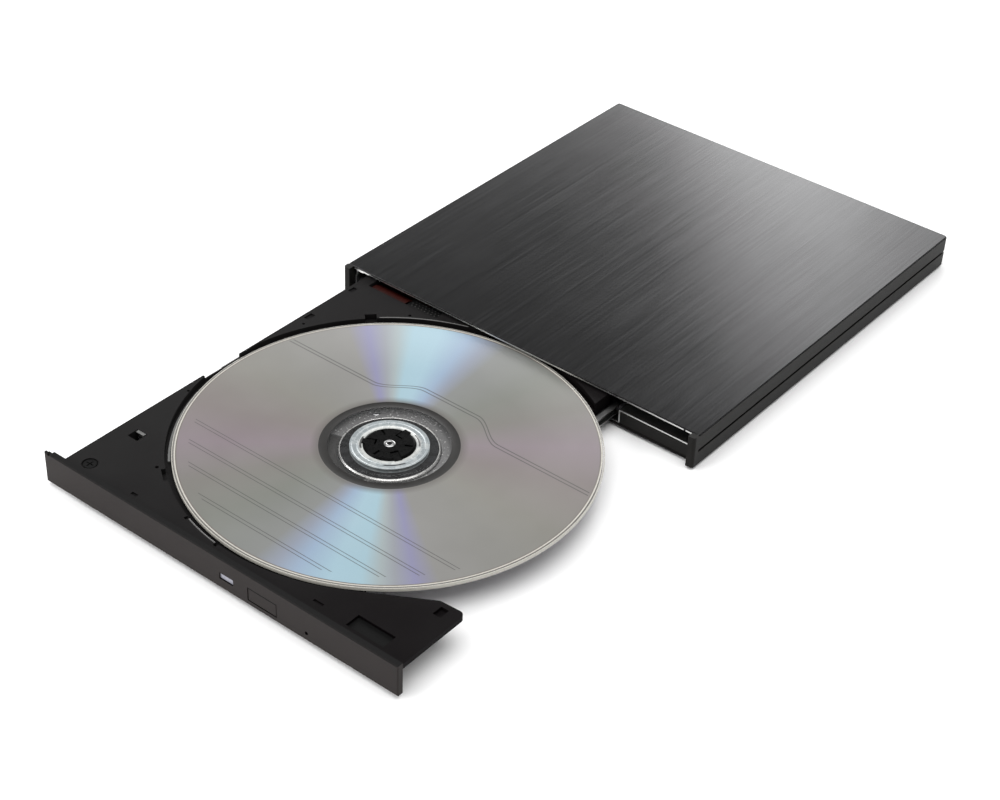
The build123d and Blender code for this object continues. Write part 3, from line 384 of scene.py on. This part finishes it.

# the painted rainbow highlight of the grooves round half a turn, which the other half repeats: degrees and
# sRGB bytes
PAINTED_RAINBOW_RAYS = (
    (0, (140, 138, 131)), (22, (136, 128, 126)), (40, (143, 131, 137)), (58, (131, 128, 123)),
    (75, (130, 132, 125)), (95, (140, 142, 140)), (101, (150, 158, 174)), (107, (159, 181, 206)),
    (116, (172, 203, 217)), (124, (170, 202, 215)), (129, (169, 181, 183)), (133, (156, 160, 168)),
    (138, (144, 143, 178)), (144, (146, 145, 142)), (165, (141, 140, 135)), (180, (140, 138, 131)),
)
PAINTED_RAINBOW_STRENGTH = 0.67
# pairs of write-on rules, in mm from the spindle: places along y, half gap, half width, and reach
RULES = (-27.9, -35.6, -42.8, -50.5)
RULE_GAP, RULE_WIDTH, RULE_REACH = 0.55, 0.13, 55.5
# double line above the hub, in mm: half gap, half width, reach, heights, and where it rises and falls
LINE_GAP, LINE_WIDTH, LINE_REACH = 0.6, 0.2, 58.2
LINE_LOW, LINE_HIGH, LINE_DROP = 18.6, 26.0, 6.8
RISE_X, FALL_X = (-23.0, -9.0), (10.0, 23.0)
MARK_COVER = 0.7
# grey-brown edge round the hub: how far outside the print's start it fades, and how strong it is
COLLAR_FADE, COLLAR_COVER = (0.2, 2.4), 0.75
# ring round the hole: radii between which it turns lighter, and waves of its turned lines per mm
FROST_FADE, TURNED_LINES = (9.2, 8.2), 13.0
# dark crescents where the hub's claws show through the ring: angle in degrees and radius
CRESCENTS = ((-40.0, 9.45), (-146.0, 8.15), (54.0, 8.35))
# half lengths in degrees and half widths between which they fade, and how strong they are
CRESCENT_ENDS, CRESCENT_SIDES, CRESCENT_COVER = (17.0, 21.0), (0.22, 0.38), 0.9


def add_piece(name, bm, finishes_used, body, smooth=30.0, replaces=()):
    """Makes the object, smooths it up to an edge angle and puts it on its body."""
    mesh = bpy.data.meshes.new(name)
    bmesh.ops.recalc_face_normals(bm, faces=bm.faces)
    bm.to_mesh(mesh)
    bm.free()
    for mat in finishes_used:
        mesh.materials.append(mat)
    mesh.polygons.foreach_set("use_smooth", [True] * len(mesh.polygons))
    mesh.set_sharp_from_angle(angle=math.radians(smooth))
    piece = bpy.data.objects.new(name, mesh)
    bpy.context.scene.collection.objects.link(piece)
    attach(piece, body)
    if replaces:
        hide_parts(*replaces)


def ring_of_verts(bm, points, centre, angle):
    """The (radius mm, height mm) points, stood up at an angle round an upright axis."""
    out = Vector((math.cos(angle), math.sin(angle), 0))
    return [bm.verts.new(centre + (out * r + Vector((0, 0, z))) * MM) for r, z in points]


def revolve(profile, centre=SPIN, steps=240):
    """A closed ring of (radius mm, height mm, material) points turned round an upright axis."""
    bm = bmesh.new()
    points = [(r, z) for r, z, _ in profile]
    rings = [ring_of_verts(bm, points, centre, 2 * math.pi * i / steps) for i in range(steps)]
    n = len(profile)
    for i in range(steps):
        here, there = rings[i], rings[(i + 1) % steps]
        for k in range(n):
            face = bm.faces.new((here[k], there[k], there[(k + 1) % n], here[(k + 1) % n]))
            face.material_index = profile[k][2]
    return bm


def disc_print():
    """Silver printed face: ruled lines, and a faint painted rainbow highlight of the grooves as rays from
    the hub.
    """
    s = Surface("disc_print", Metallic=0.12, Anisotropic=0.5, Specular_IOR_Level=0.15)
    x, y, radius = s.round_hub()
    turn = s.maths("ARCTAN2", y, x)
    half_turns = s.maths("FRACT", s.maths("ADD", s.maths("DIVIDE", turn, math.pi), 1.0))
    # painted rainbow highlight of the grooves, fixed round the hub
    ramp = s.node("ShaderNodeValToRGB", {0: half_turns})
    while len(ramp.color_ramp.elements) < len(PAINTED_RAINBOW_RAYS):
        ramp.color_ramp.elements.new(0.5)
    for element, (degrees, colour) in zip(ramp.color_ramp.elements, PAINTED_RAINBOW_RAYS):
        element.position = degrees / 180
        element.color = rgba(linear(colour), PAINTED_RAINBOW_STRENGTH)
    fleck = s.noise(5200, 2)
    cloud = s.noise(55, 2)
    colour = s.mix(s.span(fleck, 0.35, 0.65, 0.0, 0.10), ramp.outputs[0], (0.14, 0.14, 0.135, 1))
    colour = s.mix(s.grade(cloud, 0.0, 0.08), colour, (0.36, 0.36, 0.35, 1))
    # write-on rules across the lower part, and a double line with a raised middle above the hub
    marks = 0.0
    for level in RULES:
        for side in (-RULE_GAP, RULE_GAP):
            marks = s.maths("MAXIMUM", marks, s.stripe(y, level + side, RULE_WIDTH))
    marks = s.maths("MULTIPLY", marks, s.maths("LESS_THAN", radius, RULE_REACH))
    rise = s.ease(x, *RISE_X, LINE_LOW, LINE_HIGH)
    fall = s.ease(x, *FALL_X, 0.0, LINE_DROP)
    above = s.maths("SUBTRACT", y, s.maths("SUBTRACT", rise, fall))
    inside = s.maths("LESS_THAN", radius, LINE_REACH)
    for side in (-LINE_GAP, LINE_GAP):
        line = s.maths("MULTIPLY", s.stripe(above, side, LINE_WIDTH), inside)
        marks = s.maths("MAXIMUM", marks, line)
    colour = s.mix(s.maths("MULTIPLY", marks, MARK_COVER), colour, (0.06, 0.06, 0.058, 1))
    collar = s.span(radius, PRINT_R + COLLAR_FADE[0], PRINT_R + COLLAR_FADE[1], COLLAR_COVER, 0.0)
    colour = s.mix(collar, colour, (0.11, 0.103, 0.095, 1))
    s.feed("Base Color", colour)
    s.feed("Roughness", s.grade(fleck, 0.36, 0.44))
    s.feed("Tangent", s.node("ShaderNodeTangent", direction_type="RADIAL", axis="Z").outputs[0])
    return s.mat


def clear_plastic(name, tint, rough, cover):
    """See-through plastic: a thin veil that still mirrors a little."""
    s = Surface(name, Alpha=cover, IOR=1.5)
    s.feed("Base Color", s.mix(s.grade(s.noise(900, 2), 0.0, 1.0), rgba(tint, 0.9), rgba(tint)))
    s.feed("Roughness", s.grade(s.noise(1600, 2), rough, rough + 0.03))
    return s.mat


def frosted_ring():
    """Moulded ring round the hole: bluish grey, with a lighter inner half and fine turned lines."""
    s = Surface("disc_frost", Metallic=0.25, Specular_IOR_Level=0.5)
    x, y, radius = s.round_hub()
    lines = s.maths("SINE", s.maths("MULTIPLY", radius, TURNED_LINES))
    cloud = s.noise(420, 3)
    inner = s.maths("ADD", s.span(radius, *FROST_FADE, 0.0, 1.0), s.span(cloud, 0.35, 0.65, -0.3, 0.3))
    colour = s.mix(inner, (0.27, 0.30, 0.31, 1), (0.52, 0.53, 0.51, 1))
    colour = s.mix(s.span(lines, 0.2, 1.0, 0.0, 0.35), colour, (0.16, 0.17, 0.175, 1))
    turn = s.maths("DEGREES", s.maths("ARCTAN2", y, x))
    for middle, ring in CRESCENTS:
        off_middle = s.maths("ABSOLUTE", s.maths("SUBTRACT", turn, middle))
        off_ring = s.maths("ABSOLUTE", s.maths("SUBTRACT", radius, ring))
        along = s.span(off_middle, *CRESCENT_ENDS, 1.0, 0.0)
        across = s.span(off_ring, *CRESCENT_SIDES, CRESCENT_COVER, 0.0)
        colour = s.mix(s.maths("MULTIPLY", along, across), colour, (0.012, 0.012, 0.013, 1))
    s.feed("Base Color", colour)
    s.feed("Roughness", s.grade(cloud, 0.2, 0.34))
    s.bump(lines, 0.15, 0.05 * MM)
    return s.mat


def make_disc():
    """The disc as one turned ring, with a material for each zone of its surface."""
    low, top = DISC_BOTTOM, DISC_TOP
    frost, clear, band, face, rim, data, shade, edge = range(8)
    groove, ridge, sunk, stack = top - 0.05, top + 0.04, top - 0.03, low - 0.06
    profile = [
        # moulded ring round the hole, with two grooves
        (7.6, top, frost), (8.6, top, frost), (8.7, groove, frost), (8.9, groove, frost), (9.0, top, frost),
        (10.1, top, frost), (10.2, groove, frost), (10.4, groove, frost), (10.5, top, frost),
        # clear ring with a low ridge, then the dark band, a little sunk
        (CLEAR_R, top, clear), (14.3, top, clear), (14.45, ridge, clear), (14.7, ridge, clear),
        (14.85, top, clear), (BAND_R, top, band), (BAND_R + 0.15, sunk, band), (PRINT_R - 0.25, sunk, band),
        # print, fine dark lines and the pale rim
        (PRINT_R - 0.1, top, face), (PRINT_R + 0.5, top, face), (35, top, face), (58.6, top, shade),
        (58.72, sunk, shade), (58.95, top, rim), (59.32, top, shade), (59.38, top, edge),
        (59.8, top, rim), (59.95, top - 0.06, rim), (DISC_R, top - 0.17, rim), (DISC_R, low + 0.17, rim),
        # underside: data side, clear ring with the stacking ridge, and the hole's edge
        (59.92, low + 0.05, edge), (59.75, low, edge), (59.4, low, data), (20.5, low, data),
        (20.3, low, clear), (17.6, low, clear), (17.5, stack, clear), (17.1, stack, clear),
        (17.0, low, clear), (CLEAR_R, low, frost), (7.6, low, frost), (HOLE_R, low + 0.1, frost),
        (HOLE_R, top - 0.1, frost),
    ]
    frosted = frosted_ring()
    dark_band = moulded("disc_band", (0.0115, 0.0106, 0.0098), 0.4, vary=0.08, grain=700, bump=0.02,
                        Specular_IOR_Level=0.2)
    bright = moulded("disc_rim", (0.45, 0.435, 0.39), 0.3, vary=0.04, grain=900, bump=0.05)
    dull = moulded("disc_shade", (0.12, 0.105, 0.095), 0.35, vary=0.05, grain=900, bump=0.05)
    mirror = moulded("disc_data", (0.33, 0.315, 0.34), 0.08, metal=1.0, vary=0.06, grain=40, bump=0.0,
                     rough_vary=0.02)
    veil = clear_plastic("disc_clear", (0.15, 0.153, 0.153), 0.06, 0.12)
    printed = disc_print()
    glassy = clear_plastic("disc_edge", (0.55, 0.53, 0.50), 0.12, 0.28)
    mats = [frosted, veil, dark_band, printed, bright, mirror, dull, glassy]
    add_piece("silver_disc", revolve(profile), mats, "spindle", replaces=["disc"])


def make_hub():
    """Bright rim of the turntable, and the shaft's tip on the hub."""
    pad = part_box("turntable_pad")[1].z / MM
    lip = [(13.8, pad - 0.5, 0), (13.8, pad - 0.12, 0), (13.9, pad - 0.04, 0), (14.1, pad - 0.04, 0),
           (14.4, pad - 0.3, 0), (14.4, pad - 0.9, 0)]
    bright = moulded("rim_steel", (0.8, 0.79, 0.77), 0.28, metal=1.0, vary=0.05, grain=900, bump=0.05)
    add_piece("turntable_rim", revolve(lip), [bright], "spindle")
    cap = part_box("hub_cap")[1].z / MM
    tip = [(0.55, cap - 0.25, 0), (0.7, cap + 0.02, 0), (1.0, cap + 0.16, 0), (1.35, cap + 0.14, 0),
           (1.6, cap + 0.02, 0), (1.65, cap - 0.02, 0)]
    tip_steel = moulded("tip_steel", (0.34, 0.34, 0.34), 0.22, metal=1.0, vary=0.05, grain=900, bump=0.05)
    add_piece("shaft_tip", revolve(tip, steps=64), [tip_steel], "spindle")


# ------------------------------------------------------------------ tray

# the motor's plate under the clear ring: depth under the deck, inner and outer radius
PLATE_DEPTH, PLATE_IN, PLATE_OUT = 2.9, 14.6, 19.8
# arcs round the spindle, in degrees from +X
PLATE_ARC, DEEP_SHADE_ARC, LEDGE_ARC = (-76, 196), (197, 283), (196, 227.3)
POCKET_EDGES = (("pocket_edge_back", 109, 134.2), ("pocket_edge_front", 253.2, 264.5))
# the part of the noise that makes the plate's painted glints
GLINT_SPAN = (0.64, 0.72)
# screw on the plate, from the spindle
SCREW_AT = Vector((-14.2, 10.3, 0)) * MM
# solder joints on the tray's board: rows, columns, the first one's place, and the steps in x and y
JOINT_ROWS, JOINT_COLS, JOINT_FIRST, JOINT_STEP = 4, 9, 0.9, (1.28, 1.1)
# shift of every other row, radius, and height against radius
JOINT_SHIFT, JOINT_R, JOINT_FLAT = 0.5, 0.24, 0.45


def arc_bar(profile, start, stop, steps=90):
    """(radius mm, height mm) points swept round the spindle between two angles, with closed ends."""
    bm = bmesh.new()
    rings = []
    for i in range(steps + 1):
        angle = math.radians(start + (stop - start) * i / steps)
        rings.append(ring_of_verts(bm, profile, SPIN, angle))
    n = len(profile)
    for a, b in zip(rings, rings[1:]):
        for k in range(n):
            bm.faces.new((a[k], b[k], b[(k + 1) % n], a[(k + 1) % n]))
    bm.faces.new(rings[0])
    bm.faces.new(rings[-1])
    return bm


def sparkling_steel():
    """Grey plate with fine bright flecks, painted glints of its stippled face."""
    s = Surface("motor_plate", Metallic=0.2, Specular_IOR_Level=0.3)
    spark = s.noise(1500, 1)
    # painted glints of the plate's stippled face
    glint = s.span(spark, *GLINT_SPAN, 0.0, 1.0)
    s.feed("Base Color", s.mix(glint, (0.19, 0.187, 0.187, 1), (0.75, 0.74, 0.72, 1)))
    s.feed("Roughness", s.grade(spark, 0.6, 0.35))
    s.bump(spark, 0.35, 0.1 * MM)
    return s.mat


def make_motor_plate(plate, screw_steel):
    """What shows through the disc's clear ring: a plate, a dark sheet beside it that is painted shade of the
    deeper pickup opening, and a screw.
    """
    bar = [(PLATE_IN, plate), (PLATE_OUT, plate), (PLATE_OUT, plate + 0.3), (PLATE_IN, plate + 0.3)]
    add_piece("motor_plate", arc_bar(bar, *PLATE_ARC), [sparkling_steel()], "tray_unit")
    # a near-black sheet beside the plate: painted shade where one sees deeper into the pickup opening
    dark = moulded("motor_deep_shade", (0.013, 0.0105, 0.009), 0.5, vary=0.5, grain=900, bump=0.4,
                   depth=0.06 * MM, patch=500, Specular_IOR_Level=0.2)
    bar = [(PLATE_IN, plate), (PLATE_OUT, plate), (PLATE_OUT, plate + 0.18), (PLATE_IN, plate + 0.1)]
    add_piece("motor_deep_shade", arc_bar(bar, *DEEP_SHADE_ARC), [dark], "tray_unit")
    head = [(0.35, plate + 0.55, 0), (0.45, plate + 0.75, 0), (1.0, plate + 0.75, 0), (1.2, plate + 0.6, 0),
            (1.25, plate + 0.25, 0), (0.35, plate + 0.25, 0)]
    add_piece("plate_screw", revolve(head, SPIN + SCREW_AT, 40), [screw_steel], "tray_unit")


def make_pocket_edges(deck):
    """Light edges of the disc pocket as a painted highlight, and a pale ledge inside it."""
    # the pocket's rim is painted light: a painted highlight along its edge
    painted_edge_highlight = moulded("tray_edge_highlight", (0.07, 0.068, 0.066), 0.35, grain=2000, bump=0.1)
    bead = [(61.85, deck - 0.05), (61.85, deck + 0.03), (61.95, deck + 0.07), (62.15, deck + 0.07),
            (62.25, deck + 0.03), (62.25, deck - 0.05)]
    for name, start, stop in POCKET_EDGES:
        add_piece(name, arc_bar(bead, start, stop), [painted_edge_highlight], "tray_unit")
    ledge = [(60.2, deck - 2.0), (60.2, deck - 1.72), (60.35, deck - 1.62), (60.9, deck - 1.62),
             (61.0, deck - 1.7), (61.0, deck - 2.0)]
    pale = moulded("pocket_ledge", (0.13, 0.13, 0.128), 0.4, vary=0.3, grain=600, bump=0.3, depth=0.05 * MM)
    add_piece("pocket_ledge", arc_bar(ledge, *LEDGE_ARC), [pale], "tray_unit")


def make_solder():
    """Staggered rows of flat solder domes on the tray's board."""
    low, high = (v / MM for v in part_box("tray_board"))
    bm = bmesh.new()
    for row in range(JOINT_ROWS):
        y = low.y + JOINT_FIRST + JOINT_STEP[1] * row
        for col in range(JOINT_COLS):
            x = low.x + JOINT_FIRST + JOINT_STEP[0] * col + JOINT_SHIFT * (row % 2)
            dome = bmesh.ops.create_uvsphere(bm, u_segments=10, v_segments=6, radius=JOINT_R * MM)["verts"]
            bmesh.ops.scale(bm, verts=dome, vec=(1, 1, JOINT_FLAT))
            bmesh.ops.translate(bm, verts=dome, vec=Vector((x, y, high.z)) * MM)
    solder = moulded("solder", (0.085, 0.082, 0.08), 0.3, metal=1.0, grain=900, bump=0.05)
    add_piece("board_solder", bm, [solder], "tray_unit", smooth=60)


make_camera()
make_studio()
finishes = make_finishes()
paint_frame(finishes)
make_disc()
make_hub()
deck_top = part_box("tray")[1].z / MM
make_motor_plate(deck_top - PLATE_DEPTH, finishes["screw_steel"])
make_pocket_edges(deck_top)
make_solder()
